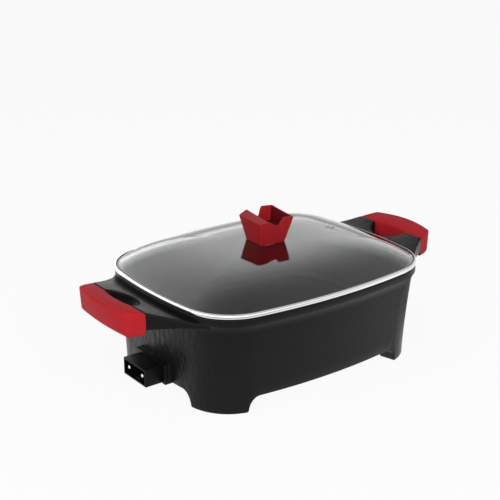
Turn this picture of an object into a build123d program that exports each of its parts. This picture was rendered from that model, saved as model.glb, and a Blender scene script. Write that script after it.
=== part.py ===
from build123d import *
import math
import os

# Electric cooking pot, in millimetres. X runs along the pot, with the power inlet at -X.
# Z is up, and the origin is on the table under the pot's centre.

# Outline of the lid seen from above: a rectangle with bowed sides and round corners
lid_length = 376.0
lid_width = 299.6
lid_corner = 72.5
long_side_bow = 818.0
end_bow = 581.0

# Pot walls, lip and floor
rim_height = 132.3
rim_margin = 1.0
lip_height = 8.8
lip_flare = 13.5
lip_overhang = 5.0
foot_draft_long = 4.6
foot_draft_wide = 7.9
foot_corner_loss = 2.5
wall_curve = 1.6
wall_thickness = 4.0
floor_thickness = 5.0
floor_round = 10.0

# Legs and the arches between them
leg_thickness = 23.0
skirt_height = 20.5
long_arch_half = 124.0
long_arch_round = 16.0
end_arch_half = 71.0
end_arch_round = 17.0
pad_radius = 7.5
pad_depth = 2.5
pad_stand = 0.8

# Handle lugs, cast with the pot
lug_root_half = 108.0
lug_root_setback = 12.5
lug_tip_half = 63.0
lug_flank_hollow = 3.2
lug_top_bulge = 2.3
lug_reach = 47.0
lug_root_drop = 1.8
lug_root_thickness = 6.0
lug_tip_rise = 7.2
lug_tip_thickness = 22.0
finger_gap_half = 32.0
finger_gap_depth = 25.0
finger_gap_shoulder = 20.0
tongue_length = 14.0
tongue_width = 16.0
tongue_height = 11.0
tongue_spread = 45.0

# Handle grips
grip_seam = 0.3
grip_depth = 34.0
grip_end_depth = 24.0
grip_end_skew = 7.5
grip_foot_depth = 27.0
grip_foot_end_depth = 20.0
grip_hollow = 4.0
grip_top_rise = 6.0
grip_corner_round = 9.0
grip_top_round = 2.0
grip_bottom_round = 5.0
grip_bottom_drop = 9.2
tongue_play = 0.25

# Screws
screw_play = 0.2
thread_play = 0.05
handle_screw_radius = 2.0
handle_screw_head = 3.7
handle_screw_head_height = 2.6
handle_screw_bite = 8.0
handle_screw_sink = 5.8
small_screw_radius = 1.75
small_screw_head = 3.1
small_screw_head_height = 2.0
small_screw_bite = 3.4
cross_share = 1.2
cross_width = 1.0
cross_depth = 1.2

# Lid
lid_play = 0.6
seat_gap = 0.3
band_sheet = 1.1
band_clasp = 4.4
band_round = 2.0
band_leg = 6.0
glass_thickness = 4.2
glass_play = 0.2
dome_inset = 5.0
dome_rise = 28.6
dome_shoulder = 3.9
dome_crown_share = 0.26
vent_place = 112.0
vent_bore = 1.6
vent_barrel = 3.0
vent_flange = 6.0
vent_flange_thickness = 0.8
vent_lift = 0.25

# Knob and its fixing
knob_place = -1.8
knob_turn = -4.3
knob_foot = 38.4
knob_crown = 54.8
knob_height = 38.3
knob_edge_round = 2.0
knob_pocket_wall = 2.2
channel_depth = 12.0
channel_start = -12.5
channel_step = 0.7
channel_step_drop = 5.4
channel_floor_start = 0.7
channel_floor_end = 4.0
channel_wall_lean = 4.2
channel_wall_drop = 2.5
channel_crest = 10.4
crown_edge_drop = 6.2
crown_left_back = 0.6
crown_left_front = 5.0
crown_crest_front = 2.3
crown_side_drop = 1.0
corner_drop = 3.6
corner_lean_side = 0.135
corner_lean_front = 0.17
insert_radius = 5.0
insert_length = 13.0
knob_screw_radius = 3.0
knob_screw_head = 5.5
knob_screw_head_height = 3.5
knob_screw_bite = 11.0
seal_radius = 15.0
seal_thickness = 1.2
washer_radius = 13.0
washer_thickness = 1.2

# Power inlet
pin_spacing = 31.4
pin_radius = 2.5
pin_shank_radius = 2.1
pin_tip_round = 1.0
pin_height = 32.75
pin_setback = 1.5
boss_stand = 5.2
flange_width = 70.0
flange_top = 48.0
flange_thickness = 4.0
inlet_width = 52.6
inlet_height = 23.7
inlet_reach = 24.1
inlet_wall = 2.2
inlet_recess = 20.0
inlet_round = 2.0
inlet_sag = 0.5
inlet_screw_spread = 30.7
inlet_screw_height = 28.0
inlet_screw_spot = 1.5
inlet_screw_flange_bite = 3.0
notch_half = 24.0
notch_headroom = 0.6
insulator_radius = 4.5
insulator_length = 10.5
earth_width = 8.0
earth_sheet = 0.8
earth_setback = 5.0
earth_riser = 3.0
earth_tail = 14.0

# Heater under the floor
element_radius = 4.0
loop_end_margin = 55.0
loop_side_margin = 44.0
lead_round = 18.0
cutout_radius = 8.0
cutout_height = 10.0
cutout_inset = 18.5
blade_width = 6.0
blade_sheet = 0.8
blade_reach = 9.0
clip_sheet = 1.2
clip_width = 10.0
clip_foot = 9.0
clip_play = 0.05
clip_spacing = 100.0
strap_width = 8.0
strap_play = 0.4

# Bottom cover
boss_radius = 4.5
boss_length = 13.0
boss_spacing = 144.0
boss_side_margin = 18.0
front_boss_margin = 23.0
inlet_boss_margin = 33.0
cover_sheet = 1.0
cover_play = 0.6
cover_screw_bite = 8.0
vent_slot_length = 40.0
vent_slot_width = 4.0
vent_slot_pitch = 14.0
vent_slot_rows = 7

# Places that follow from the sizes above
lid_half_length = lid_length / 2
lid_half_width = lid_width / 2
flare_start = rim_height - lip_height - lip_flare
wall_end = lid_half_length - rim_margin - lip_overhang
foot_end = wall_end - foot_draft_long
foot_side = lid_half_width - rim_margin - lip_overhang - foot_draft_wide
hollow_end = foot_end - wall_thickness
hollow_side = foot_side - wall_thickness
floor_underside = pin_height + element_radius
floor_top = floor_underside + floor_thickness
lug_tip = wall_end + lug_reach
pin_side = pin_spacing / 2
base_up = (Align.CENTER, Align.CENTER, Align.MIN)


def bow_centres(half_length, half_width, corner):
    """Centres of the arcs of a bowed outline: long side, end, and the corner tangent to both."""
    long_bow = long_side_bow - (lid_half_width - half_width)
    short_bow = end_bow - (lid_half_length - half_length)
    long_centre = Vector(0, half_width - long_bow)
    short_centre = Vector(half_length - short_bow, 0)
    between = short_centre - long_centre
    along = ((long_bow - corner) ** 2 - (short_bow - corner) ** 2 + between.length**2) / (2 * between.length)
    aside = math.sqrt((long_bow - corner) ** 2 - along**2)
    toward = between.normalized()
    return long_centre, short_centre, long_centre + toward * along + Vector(toward.Y, -toward.X) * aside


def bowed_outline(height, half_length, half_width, corner):
    """Rectangle with bowed sides and round corners, each arc tangent to the next."""
    long_centre, short_centre, corner_centre = bow_centres(half_length, half_width, corner)
    side = corner_centre + (corner_centre - long_centre).normalized() * corner
    end = corner_centre + (corner_centre - short_centre).normalized() * corner
    middle = corner_centre + ((side + end) * 0.5 - corner_centre).normalized() * corner
    with BuildSketch(Plane.XY.offset(height)) as outline:
        with BuildLine():
            for turn in (1, -1):
                ThreePointArc(
                    (-turn * side.X, turn * side.Y), (0, turn * half_width), (turn * side.X, turn * side.Y)
                )
                ThreePointArc(side * turn, middle * turn, end * turn)
                ThreePointArc(end * turn, (turn * half_length, 0), (turn * end.X, -turn * end.Y))
                ThreePointArc(
                    (turn * end.X, -turn * end.Y),
                    (turn * middle.X, -turn * middle.Y),
                    (turn * side.X, -turn * side.Y),
                )
        make_face()
    return outline.sketch


def lid_outline(height, inset):
    """Outline parallel to the lid's edge."""
    return bowed_outline(height, lid_half_length - inset, lid_half_width - inset, lid_corner - inset)


def wall_outline(height, level, inset=0.0):
    """Outline of the pot's wall at a level, drawn at a height: the wall leans in towards the foot."""
    lean = 1 - (level / flare_start) ** wall_curve
    setback = rim_margin + lip_overhang + inset
    return bowed_outline(
        height,
        lid_half_length - setback - foot_draft_long * lean,
        lid_half_width - setback - foot_draft_wide * lean,
        lid_corner - setback - foot_corner_loss * lean,
    )


def hollow_outline(height, play):
    """Space under the floor, inside the skirt and clear of the four corner legs."""
    with BuildSketch(Plane.XY.offset(height)) as hollow:
        Rectangle(2 * (long_arch_half - long_arch_round - play), lid_width)
        Rectangle(lid_length, 2 * (end_arch_half - end_arch_round - play))
        add(wall_outline(0, 0, wall_thickness + play), mode=Mode.INTERSECT)
        add(wall_outline(0, 0, leg_thickness + play))
    return hollow.sketch


def screw(head, head_height, radius, length):
    """Pan head screw standing on its head, with a cross recess."""
    with BuildPart() as fastener:
        Cylinder(head, head_height, align=base_up)
        with Locations((0, 0, head_height)):
            Cylinder(radius, length, align=base_up)
        Box(cross_share * head, cross_width, cross_depth, align=base_up, mode=Mode.SUBTRACT)
        Box(cross_width, cross_share * head, cross_depth, align=base_up, mode=Mode.SUBTRACT)
    return fastener.part


# Inside of the pan, with a rounded edge round its floor
with BuildPart() as pan_space:
    pan_levels = [floor_top, (floor_top + flare_start) / 2, flare_start]
    loft([wall_outline(level, level, wall_thickness) for level in pan_levels])
    fillet(pan_space.faces().sort_by(Axis.Z)[0].edges(), floor_round)
    extrude(wall_outline(flare_start, flare_start, wall_thickness), amount=rim_height)

# One lug: two arms and the web between them, rising from the lip to the grip
lug_root_top = rim_height - lug_root_drop
lug_tip_top = rim_height + lug_tip_rise
lug_root_bottom = lug_root_top - lug_root_thickness
lug_tip_bottom = lug_tip_top - lug_tip_thickness
tongue_middle = (lug_tip_top + lug_tip_bottom) / 2
lug_root = wall_end - lug_root_setback
lug_top_middle = (lug_root_top + lug_tip_top) / 2 + lug_top_bulge
flank_middle = Vector((lug_root + lug_tip) / 2, (lug_root_half + lug_tip_half) / 2)
flank_across = Vector(lug_root_half - lug_tip_half, lug_tip - lug_root).normalized()
flank_hollowed = flank_middle - flank_across * lug_flank_hollow
with BuildPart() as lug:
    with BuildSketch(Plane.XZ):
        with BuildLine():
            ThreePointArc(
                (wall_end, lug_root_top),
                ((wall_end + lug_tip) / 2, lug_top_middle),
                (lug_tip, lug_tip_top),
            )
            Polyline(
                (lug_tip, lug_tip_top),
                (lug_tip, lug_tip_bottom),
                (wall_end, lug_root_bottom),
                (lug_root, lug_root_bottom),
                (lug_root, lug_root_top),
                (wall_end, lug_root_top),
            )
        make_face()
    extrude(amount=lug_root_half, both=True)
    with BuildSketch(Plane.XY):
        with BuildLine():
            ThreePointArc((lug_root, lug_root_half), flank_hollowed, (lug_tip, lug_tip_half))
            Line((lug_tip, lug_tip_half), (lug_tip, -lug_tip_half))
            ThreePointArc(
                (lug_tip, -lug_tip_half), (flank_hollowed.X, -flank_hollowed.Y), (lug_root, -lug_root_half)
            )
            Line((lug_root, -lug_root_half), (lug_root, lug_root_half))
        make_face()
        with BuildLine():
            ThreePointArc(
                (lug_tip - finger_gap_depth + finger_gap_shoulder, finger_gap_half),
                (lug_tip - finger_gap_depth, 0),
                (lug_tip - finger_gap_depth + finger_gap_shoulder, -finger_gap_half),
            )
            Polyline(
                (lug_tip - finger_gap_depth + finger_gap_shoulder, -finger_gap_half),
                (lug_tip + lug_reach, -finger_gap_half),
                (lug_tip + lug_reach, finger_gap_half),
                (lug_tip - finger_gap_depth + finger_gap_shoulder, finger_gap_half),
            )
        make_face(mode=Mode.SUBTRACT)
    extrude(amount=2 * rim_height, mode=Mode.INTERSECT)
    with Locations(*[(lug_tip, side * tongue_spread, tongue_middle) for side in (1, -1)]):
        Box(tongue_length, tongue_width, tongue_height, align=(Align.MIN, Align.CENTER, Align.CENTER))

# Pot: walls, lip, floor, skirt, legs and lugs in one casting
boss_face = foot_end + boss_stand
notch_top = pin_height + insulator_radius + notch_headroom
foot_corner = lid_corner - rim_margin - lip_overhang - foot_corner_loss
foot_corner_centre = bow_centres(foot_end, foot_side, foot_corner)[-1]
pad_place = foot_corner_centre + Vector(1, 1).normalized() * (foot_corner - leg_thickness / 2)
side_boss_y = hollow_side - boss_side_margin
front_boss_x = hollow_end - front_boss_margin
inlet_boss_x = -(hollow_end - inlet_boss_margin)
boss_places = [(x * boss_spacing / 2, y * side_boss_y) for x in (1, -1) for y in (1, -1)]
boss_places += [(front_boss_x, 0), (inlet_boss_x, 0)]
loop_half_length = hollow_end - loop_end_margin
loop_half_width = hollow_side - loop_side_margin
cutout_x = -(hollow_end - cutout_inset)
strap_reach = cutout_radius + strap_play + clip_sheet + clip_foot / 2
clip_reach = element_radius + clip_play + clip_sheet + clip_foot / 2
clip_places = [(x * clip_spacing / 2, y * loop_half_width) for x in (1, -1) for y in (1, -1)]
clip_screw_places = [(x, y + side * clip_reach) for x, y in clip_places for side in (1, -1)]
clip_screw_places += [(cutout_x, pin_side + side * strap_reach) for side in (1, -1)]
earth_start = -(boss_face - earth_riser)
earth_screw_x = earth_start + earth_tail - small_screw_head
screw_spot = -(hollow_end + inlet_screw_spot)
with BuildPart() as pot_casting:
    loft([wall_outline(share * flare_start, share * flare_start) for share in (0, 0.34, 0.67, 1)])
    lip_bottom = rim_height - lip_height
    loft([wall_outline(flare_start, flare_start), lid_outline(lip_bottom, rim_margin)], ruled=True)
    extrude(lid_outline(lip_bottom, rim_margin), amount=lip_height)
    add(lug.part)
    mirror(lug.part, about=Plane.YZ)
    with BuildSketch(Plane.YZ.offset(-boss_face)):
        with Locations((0, (skirt_height + flange_top) / 2)):
            Rectangle(flange_width, flange_top - skirt_height)
    extrude(amount=boss_stand + wall_thickness)
    add(pan_space.part, mode=Mode.SUBTRACT)
    extrude(hollow_outline(0, 0), amount=floor_underside, mode=Mode.SUBTRACT)
    with BuildSketch(Plane.XZ):
        Rectangle(2 * (long_arch_half - long_arch_round), 2 * skirt_height)
        with Locations((long_arch_half - long_arch_round, 0), (long_arch_round - long_arch_half, 0)):
            Ellipse(long_arch_round, skirt_height)
    extrude(amount=lid_width, both=True, mode=Mode.SUBTRACT)
    with BuildSketch(Plane.YZ):
        Rectangle(2 * (end_arch_half - end_arch_round), 2 * skirt_height)
        with Locations((end_arch_half - end_arch_round, 0), (end_arch_round - end_arch_half, 0)):
            Ellipse(end_arch_round, skirt_height)
    extrude(amount=lid_length, both=True, mode=Mode.SUBTRACT)
    with Locations((0, 0, 0)):
        Box(lid_length, lid_width, 2 * pad_stand, mode=Mode.SUBTRACT)
    with BuildSketch(Plane.YZ.offset(-boss_face)):
        Rectangle(2 * notch_half, 2 * notch_top)
    extrude(amount=boss_face - hollow_end + wall_thickness, mode=Mode.SUBTRACT)
    with Locations(*[(x, y, floor_underside) for x, y in boss_places]):
        Cylinder(boss_radius, boss_length, align=(Align.CENTER, Align.CENTER, Align.MAX))
    with Locations(*[(x, y, floor_underside - boss_length) for x, y in boss_places]):
        Cylinder(small_screw_radius + thread_play, cover_screw_bite, align=base_up, mode=Mode.SUBTRACT)
    with Locations(*[(x, y, floor_underside) for x, y in clip_screw_places + [(earth_screw_x, 0)]]):
        Cylinder(small_screw_radius + thread_play, small_screw_bite, align=base_up, mode=Mode.SUBTRACT)
    with Locations(*[(x * pad_place.X, y * pad_place.Y, pad_stand) for x in (1, -1) for y in (1, -1)]):
        Cylinder(pad_radius, pad_depth, align=base_up, mode=Mode.SUBTRACT)
    with BuildSketch(Plane.YZ.offset(-boss_face)):
        with Locations(*[(side * inlet_screw_spread, inlet_screw_height) for side in (1, -1)]):
            Circle(small_screw_radius + screw_play)
    extrude(amount=boss_face - hollow_end + wall_thickness, mode=Mode.SUBTRACT)
    with BuildSketch(Plane.YZ.offset(screw_spot)):
        with Locations(*[(side * inlet_screw_spread, inlet_screw_height) for side in (1, -1)]):
            Circle(small_screw_head + screw_play)
    extrude(amount=inlet_screw_spot + wall_thickness, mode=Mode.SUBTRACT)
    handle_screw_x = lug_tip + tongue_length / 2
    with Locations(
        *[
            (end * handle_screw_x, side * tongue_spread, tongue_middle - tongue_height / 2)
            for end in (1, -1)
            for side in (1, -1)
        ]
    ):
        Cylinder(handle_screw_radius + thread_play, handle_screw_bite, align=base_up, mode=Mode.SUBTRACT)

# Rubber pads pressed into the feet
with BuildPart() as foot_pads:
    with Locations(*[(x * pad_place.X, y * pad_place.Y, 0) for x in (1, -1) for y in (1, -1)]):
        Cylinder(pad_radius, pad_stand + pad_depth, align=base_up)

# Grips: each slides over the two tongues of its lug and takes a screw from below into each
grip_inner = lug_tip + grip_seam
grip_bottom = lug_tip_bottom - grip_bottom_drop
grip_top = lug_tip_top + grip_top_rise
socket_bottom = tongue_middle - tongue_height / 2 - tongue_play
screw_floor = grip_bottom + handle_screw_sink


def grip_outline(height, depth, end_depth):
    """Plan of the grip at a height: a hollow for the fingers, skewed ends and a bowed outer face."""
    end_half = lug_tip_half - grip_end_skew
    with BuildSketch(Plane.XY.offset(height)) as plan:
        with BuildLine():
            Polyline(
                (grip_inner, finger_gap_half), (grip_inner, lug_tip_half), (grip_inner + end_depth, end_half)
            )
            ThreePointArc(
                (grip_inner + end_depth, end_half),
                (grip_inner + depth, 0),
                (grip_inner + end_depth, -end_half),
            )
            Polyline(
                (grip_inner + end_depth, -end_half), (grip_inner, -lug_tip_half), (grip_inner, -finger_gap_half)
            )
            ThreePointArc(
                (grip_inner, -finger_gap_half), (grip_inner + grip_hollow, 0), (grip_inner, finger_gap_half)
            )
        make_face()
        fillet(plan.vertices().group_by(Axis.X)[-1], grip_corner_round)
    return plan.sketch


with BuildPart() as handle_grip_right:
    grip_foot = grip_outline(grip_bottom, grip_foot_depth, grip_foot_end_depth)
    loft([grip_foot, grip_outline(grip_top, grip_depth, grip_end_depth)], ruled=True)
    with BuildSketch(Plane.XZ):
        with BuildLine():
            Polyline(
                (grip_inner, lug_tip_top),
                (grip_inner + grip_depth, grip_top),
                (grip_inner, grip_top),
                close=True,
            )
        make_face()
    extrude(amount=lug_tip_half, both=True, mode=Mode.SUBTRACT)
    fillet(handle_grip_right.faces().sort_by(Axis.Z)[0].edges(), grip_bottom_round)
    fillet(handle_grip_right.faces().sort_by(Axis.Z)[-1].edges(), grip_top_round)
    with Locations(*[(grip_inner, side * tongue_spread, tongue_middle) for side in (1, -1)]):
        Box(
            2 * (tongue_length - grip_seam + tongue_play),
            tongue_width + 2 * tongue_play,
            tongue_height + 2 * tongue_play,
            mode=Mode.SUBTRACT,
        )
    with Locations(*[(handle_screw_x, side * tongue_spread, grip_bottom) for side in (1, -1)]):
        Cylinder(
            handle_screw_radius + screw_play, socket_bottom - grip_bottom, align=base_up, mode=Mode.SUBTRACT
        )
        Cylinder(handle_screw_head + screw_play, screw_floor - grip_bottom, align=base_up, mode=Mode.SUBTRACT)

with BuildPart() as handle_grip_left:
    mirror(handle_grip_right.part, about=Plane.YZ)

with BuildPart() as handle_screws:
    with Locations(
        *[
            (end * handle_screw_x, side * tongue_spread, screw_floor - handle_screw_head_height)
            for end in (1, -1)
            for side in (1, -1)
        ]
    ):
        add(
            screw(
                handle_screw_head,
                handle_screw_head_height,
                handle_screw_radius,
                socket_bottom + tongue_play + handle_screw_bite - screw_floor,
            )
        )

# Steel band: a channel round the glass edge, with a leg that drops inside the pot's wall
band_bottom = rim_height + seat_gap
band_height = glass_thickness + 2 * band_sheet
band_leg_face = rim_margin + lip_overhang + wall_thickness + lid_play
band_leg_back = band_leg_face + band_sheet
with BuildPart() as lid_rim_band:
    extrude(lid_outline(band_bottom, 0), amount=band_height)
    fillet(lid_rim_band.edges().filter_by(Plane.XY), band_round)
    extrude(lid_outline(band_bottom - band_leg, band_leg_face), amount=band_leg + band_sheet)
    extrude(
        lid_outline(band_bottom - band_leg, band_leg_back), amount=band_leg + band_height, mode=Mode.SUBTRACT
    )
    extrude(lid_outline(band_bottom + band_sheet, band_sheet), amount=glass_thickness, mode=Mode.SUBTRACT)
    extrude(lid_outline(band_bottom + band_sheet, band_clasp), amount=band_height, mode=Mode.SUBTRACT)

# Glass: a flat border held by the band, a steep shoulder and a nearly flat crown
glass_bottom = band_bottom + band_sheet
border_top = glass_bottom + glass_thickness
dome_top = border_top + dome_rise
dome_shares = (1, 0.95, 0.88, 0.79, 0.67, 0.5, dome_crown_share)


def dome_outline(share, inset):
    """Level line of the dome, at a share of the way out from its centre."""
    fall = dome_rise * (share**dome_shoulder - dome_crown_share**dome_shoulder)
    fall /= 1 - dome_crown_share**dome_shoulder
    return bowed_outline(
        dome_top - fall - inset,
        (lid_half_length - dome_inset - inset) * share,
        (lid_half_width - dome_inset - inset) * share,
        (lid_corner - dome_inset - inset) * share,
    )


vent_share = vent_place / (lid_half_length - dome_inset)
vent_height = dome_top - dome_rise * vent_share**dome_shoulder
vent_slope = dome_rise * dome_shoulder * vent_share ** (dome_shoulder - 1) / (lid_half_length - dome_inset)
vent_plane = Plane(origin=(vent_place, 0, vent_height), x_dir=(1, 0, -vent_slope), z_dir=(vent_slope, 0, 1))
with BuildPart() as lid_glass:
    extrude(lid_outline(glass_bottom, band_sheet + glass_play), amount=glass_thickness)
    loft([dome_outline(share, 0) for share in dome_shares])
    loft([dome_outline(share, glass_thickness) for share in dome_shares], mode=Mode.SUBTRACT)
    with Locations((knob_place, 0, 0)):
        Cylinder(knob_screw_radius + screw_play, 2 * dome_top, mode=Mode.SUBTRACT)
    with Locations(vent_plane):
        Cylinder(vent_barrel + glass_play, 4 * glass_thickness, mode=Mode.SUBTRACT)

with BuildPart() as steam_vent_eyelet:
    with Locations(vent_plane.offset(vent_lift)):
        Cylinder(vent_flange, vent_flange_thickness, align=base_up)
        Cylinder(vent_barrel, 2 * glass_thickness, align=(Align.CENTER, Align.CENTER, Align.MAX))
        Cylinder(vent_bore, 6 * glass_thickness, mode=Mode.SUBTRACT)

# Knob: an upside-down pyramid with a spoon channel across its top, a little turned on its screw.
# Its crown falls towards the front: the channel's outline differs on the front and back faces.
# Right of the channel it is hollowed to a thin wall.
knob_frame = Plane((knob_place, 0, dome_top)).rotated((0, 0, knob_turn))
with BuildPart() as lid_knob:
    with BuildSketch(knob_frame):
        Rectangle(knob_foot, knob_foot)
    with BuildSketch(knob_frame.offset(knob_height)):
        Rectangle(knob_crown, knob_crown)
    loft(ruled=True)
    fillet(lid_knob.edges().filter_by(Plane.XY, reverse=True), knob_edge_round)
    for face, left_drop, crest_drop in ((-1, crown_left_front, crown_crest_front), (1, crown_left_back, 0)):
        crest = knob_height - crest_drop
        face_middle = knob_frame.from_local_coords((0, face * knob_crown / 2, 0))
        with BuildSketch(Plane(face_middle, x_dir=knob_frame.x_dir, z_dir=-knob_frame.y_dir)):
            with BuildLine():
                Polyline(
                    (-knob_crown, knob_height - crown_edge_drop),
                    (-knob_crown / 2, knob_height - crown_edge_drop),
                    (channel_start, knob_height - left_drop),
                    (channel_start + channel_step, knob_height - channel_step_drop),
                    (channel_floor_start, knob_height - channel_depth),
                    (channel_floor_end, knob_height - channel_depth),
                    (channel_floor_end + channel_wall_lean, crest - channel_wall_drop),
                    (channel_crest, crest),
                    (knob_crown / 2, crest - crown_side_drop),
                    (knob_crown, crest - crown_side_drop),
                    (knob_crown, 2 * knob_height),
                    (-knob_crown, 2 * knob_height),
                    close=True,
                )
            make_face()
    loft(ruled=True, mode=Mode.SUBTRACT)
    corner = knob_frame.from_local_coords((knob_crown / 2, -knob_crown / 2, knob_height - corner_drop))
    corner_facing = knob_frame.z_dir + knob_frame.x_dir * corner_lean_side - knob_frame.y_dir * corner_lean_front
    with BuildSketch(Plane(corner, z_dir=corner_facing)):
        Rectangle(2 * knob_crown, 2 * knob_crown)
    extrude(amount=knob_height, mode=Mode.SUBTRACT)
    pocket_level = knob_height - channel_depth
    pocket_half = knob_foot / 2 + (knob_crown - knob_foot) / 2 * pocket_level / knob_height
    for level, half in ((pocket_level, pocket_half), (knob_height, knob_crown / 2)):
        pocket_width = half - knob_pocket_wall - channel_floor_start
        with BuildSketch(knob_frame.offset(level)):
            with Locations((channel_floor_start + pocket_width / 2, 0)):
                Rectangle(pocket_width, 2 * (half - knob_pocket_wall))
    loft(ruled=True, mode=Mode.SUBTRACT)
    with Locations((knob_place, 0, dome_top)):
        Cylinder(seal_radius, seal_thickness, align=base_up, mode=Mode.SUBTRACT)
        Cylinder(insert_radius, seal_thickness + insert_length, align=base_up, mode=Mode.SUBTRACT)

with BuildPart() as knob_seal_upper:
    with Locations((knob_place, 0, dome_top)):
        Cylinder(seal_radius, seal_thickness, align=base_up)
        Cylinder(knob_screw_radius + screw_play, seal_thickness, align=base_up, mode=Mode.SUBTRACT)

with BuildPart() as knob_insert:
    with Locations((knob_place, 0, dome_top + seal_thickness)):
        Cylinder(insert_radius, insert_length, align=base_up)
        Cylinder(knob_screw_radius + thread_play, insert_length, align=base_up, mode=Mode.SUBTRACT)

seal_top = dome_top - glass_thickness
with BuildPart() as knob_seal_lower:
    with Locations((knob_place, 0, seal_top - seal_thickness)):
        Cylinder(washer_radius, seal_thickness, align=base_up)
        Cylinder(knob_screw_radius + screw_play, seal_thickness, align=base_up, mode=Mode.SUBTRACT)

washer_bottom = seal_top - seal_thickness - washer_thickness
with BuildPart() as knob_washer:
    with Locations((knob_place, 0, washer_bottom)):
        Cylinder(washer_radius, washer_thickness, align=base_up)
        Cylinder(knob_screw_radius + screw_play, washer_thickness, align=base_up, mode=Mode.SUBTRACT)

with BuildPart() as knob_screw:
    with Locations((knob_place, 0, washer_bottom - knob_screw_head_height)):
        add(
            screw(
                knob_screw_head,
                knob_screw_head_height,
                knob_screw_radius,
                dome_top + seal_thickness + knob_screw_bite - washer_bottom,
            )
        )

# Inlet: an open box on a flange, screwed to the casting from inside
flange_face = boss_face + flange_thickness
inlet_face = flange_face + inlet_reach
inlet_middle = pin_height - inlet_sag
recess_floor = inlet_face - inlet_recess
recess_bottom = inlet_middle - inlet_height / 2 + inlet_wall
with BuildPart() as inlet_housing:
    with BuildSketch(Plane.YZ.offset(-flange_face)):
        with Locations((0, (skirt_height + flange_top) / 2)):
            RectangleRounded(flange_width, flange_top - skirt_height, inlet_round)
    extrude(amount=flange_thickness)
    with BuildSketch(Plane.YZ.offset(-inlet_face)):
        with Locations((0, inlet_middle)):
            RectangleRounded(inlet_width, inlet_height, inlet_round)
    extrude(amount=inlet_reach)
    with BuildSketch(Plane.YZ.offset(-inlet_face)):
        with Locations((0, inlet_middle)):
            Rectangle(inlet_width - 2 * inlet_wall, inlet_height - 2 * inlet_wall)
    extrude(amount=inlet_recess, mode=Mode.SUBTRACT)
    with BuildSketch(Plane.YZ.offset(-inlet_face)):
        with Locations((pin_side, pin_height), (-pin_side, pin_height)):
            Circle(pin_shank_radius + thread_play)
        with Locations((0, recess_bottom + earth_sheet / 2)):
            Rectangle(earth_width, earth_sheet)
    extrude(amount=inlet_reach + flange_thickness, mode=Mode.SUBTRACT)
    with BuildSketch(Plane.YZ.offset(-boss_face - inlet_screw_flange_bite)):
        with Locations(*[(side * inlet_screw_spread, inlet_screw_height) for side in (1, -1)]):
            Circle(small_screw_radius + thread_play)
    extrude(amount=inlet_screw_flange_bite, mode=Mode.SUBTRACT)

with BuildPart() as inlet_screws:
    inlet_screw_length = boss_face + inlet_screw_flange_bite + screw_spot
    for side in (1, -1):
        seat = (screw_spot + small_screw_head_height, side * inlet_screw_spread, inlet_screw_height)
        with Locations(Plane(origin=seat, z_dir=(-1, 0, 0))):
            add(screw(small_screw_head, small_screw_head_height, small_screw_radius, inlet_screw_length))

# Contact pins: each stands on the recess floor, and its thinner shank goes through to the hollow.
# The front shank runs to the heater, the rear one stops at the cutout.
contact_length = inlet_recess - pin_setback
lead_end = -(boss_face - insulator_length)
front_shank = recess_floor + lead_end
rear_shank = recess_floor + cutout_x - cutout_radius - blade_sheet
pin_turn = (0, 90, 0)


def terminal_pin(side, shank_length):
    """Contact pin with a round tip, and its shank behind."""
    with BuildPart() as pin:
        with Locations((-recess_floor - contact_length, side * pin_side, pin_height)):
            Cylinder(pin_radius, contact_length, rotation=pin_turn, align=base_up)
        fillet(pin.edges().sort_by(Axis.X)[0], pin_tip_round)
        with Locations((-recess_floor, side * pin_side, pin_height)):
            Cylinder(pin_shank_radius, shank_length, rotation=pin_turn, align=base_up)
    return pin


terminal_pin_front = terminal_pin(-1, front_shank)
terminal_pin_rear = terminal_pin(1, rear_shank)

with BuildPart() as pin_insulators:
    with Locations((-boss_face, pin_side, pin_height), (-boss_face, -pin_side, pin_height)):
        Cylinder(insulator_radius, insulator_length, rotation=pin_turn, align=base_up)
        Cylinder(
            pin_shank_radius + thread_play,
            insulator_length,
            rotation=pin_turn,
            align=base_up,
            mode=Mode.SUBTRACT,
        )

# Earth strip: along the recess, up behind the flange and under the floor
with BuildPart() as earth_contact:
    with BuildSketch(Plane.XZ):
        with BuildLine():
            Polyline(
                (-inlet_face + earth_setback, recess_bottom),
                (earth_start, recess_bottom),
                (earth_start, floor_underside - earth_sheet),
                (earth_start + earth_tail, floor_underside - earth_sheet),
                (earth_start + earth_tail, floor_underside),
                (earth_start - earth_sheet, floor_underside),
                (earth_start - earth_sheet, recess_bottom + earth_sheet),
                (-inlet_face + earth_setback, recess_bottom + earth_sheet),
                close=True,
            )
        make_face()
    extrude(amount=earth_width / 2, both=True)
    with Locations((earth_screw_x, 0, floor_underside)):
        Cylinder(small_screw_radius + screw_play, 3 * earth_sheet, mode=Mode.SUBTRACT)

with BuildPart() as earth_screw:
    with Locations((earth_screw_x, 0, floor_underside - earth_sheet - small_screw_head_height)):
        add(
            screw(
                small_screw_head,
                small_screw_head_height,
                small_screw_radius,
                earth_sheet + small_screw_bite,
            )
        )

# Heater: one sheathed tube looped under the floor, with a cold pin at its rear end
rear_lead_end = cutout_x + cutout_radius + blade_reach
with BuildPart() as heating_element:
    with BuildLine(Plane.XY.offset(pin_height)) as tube_path:
        FilletPolyline(
            (lead_end, -pin_side),
            (-loop_half_length, -pin_side),
            (-loop_half_length, -loop_half_width),
            (loop_half_length, -loop_half_width),
            (loop_half_length, loop_half_width),
            (-loop_half_length, loop_half_width),
            (-loop_half_length, pin_side),
            (rear_lead_end, pin_side),
            radius=lead_round,
        )
    with BuildSketch(Plane(origin=(lead_end, -pin_side, pin_height), z_dir=(1, 0, 0))):
        Circle(element_radius)
    sweep()
    with Locations((rear_lead_end, pin_side, pin_height)):
        Cylinder(pin_shank_radius, 2 * (blade_reach - blade_sheet), rotation=pin_turn)

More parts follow.
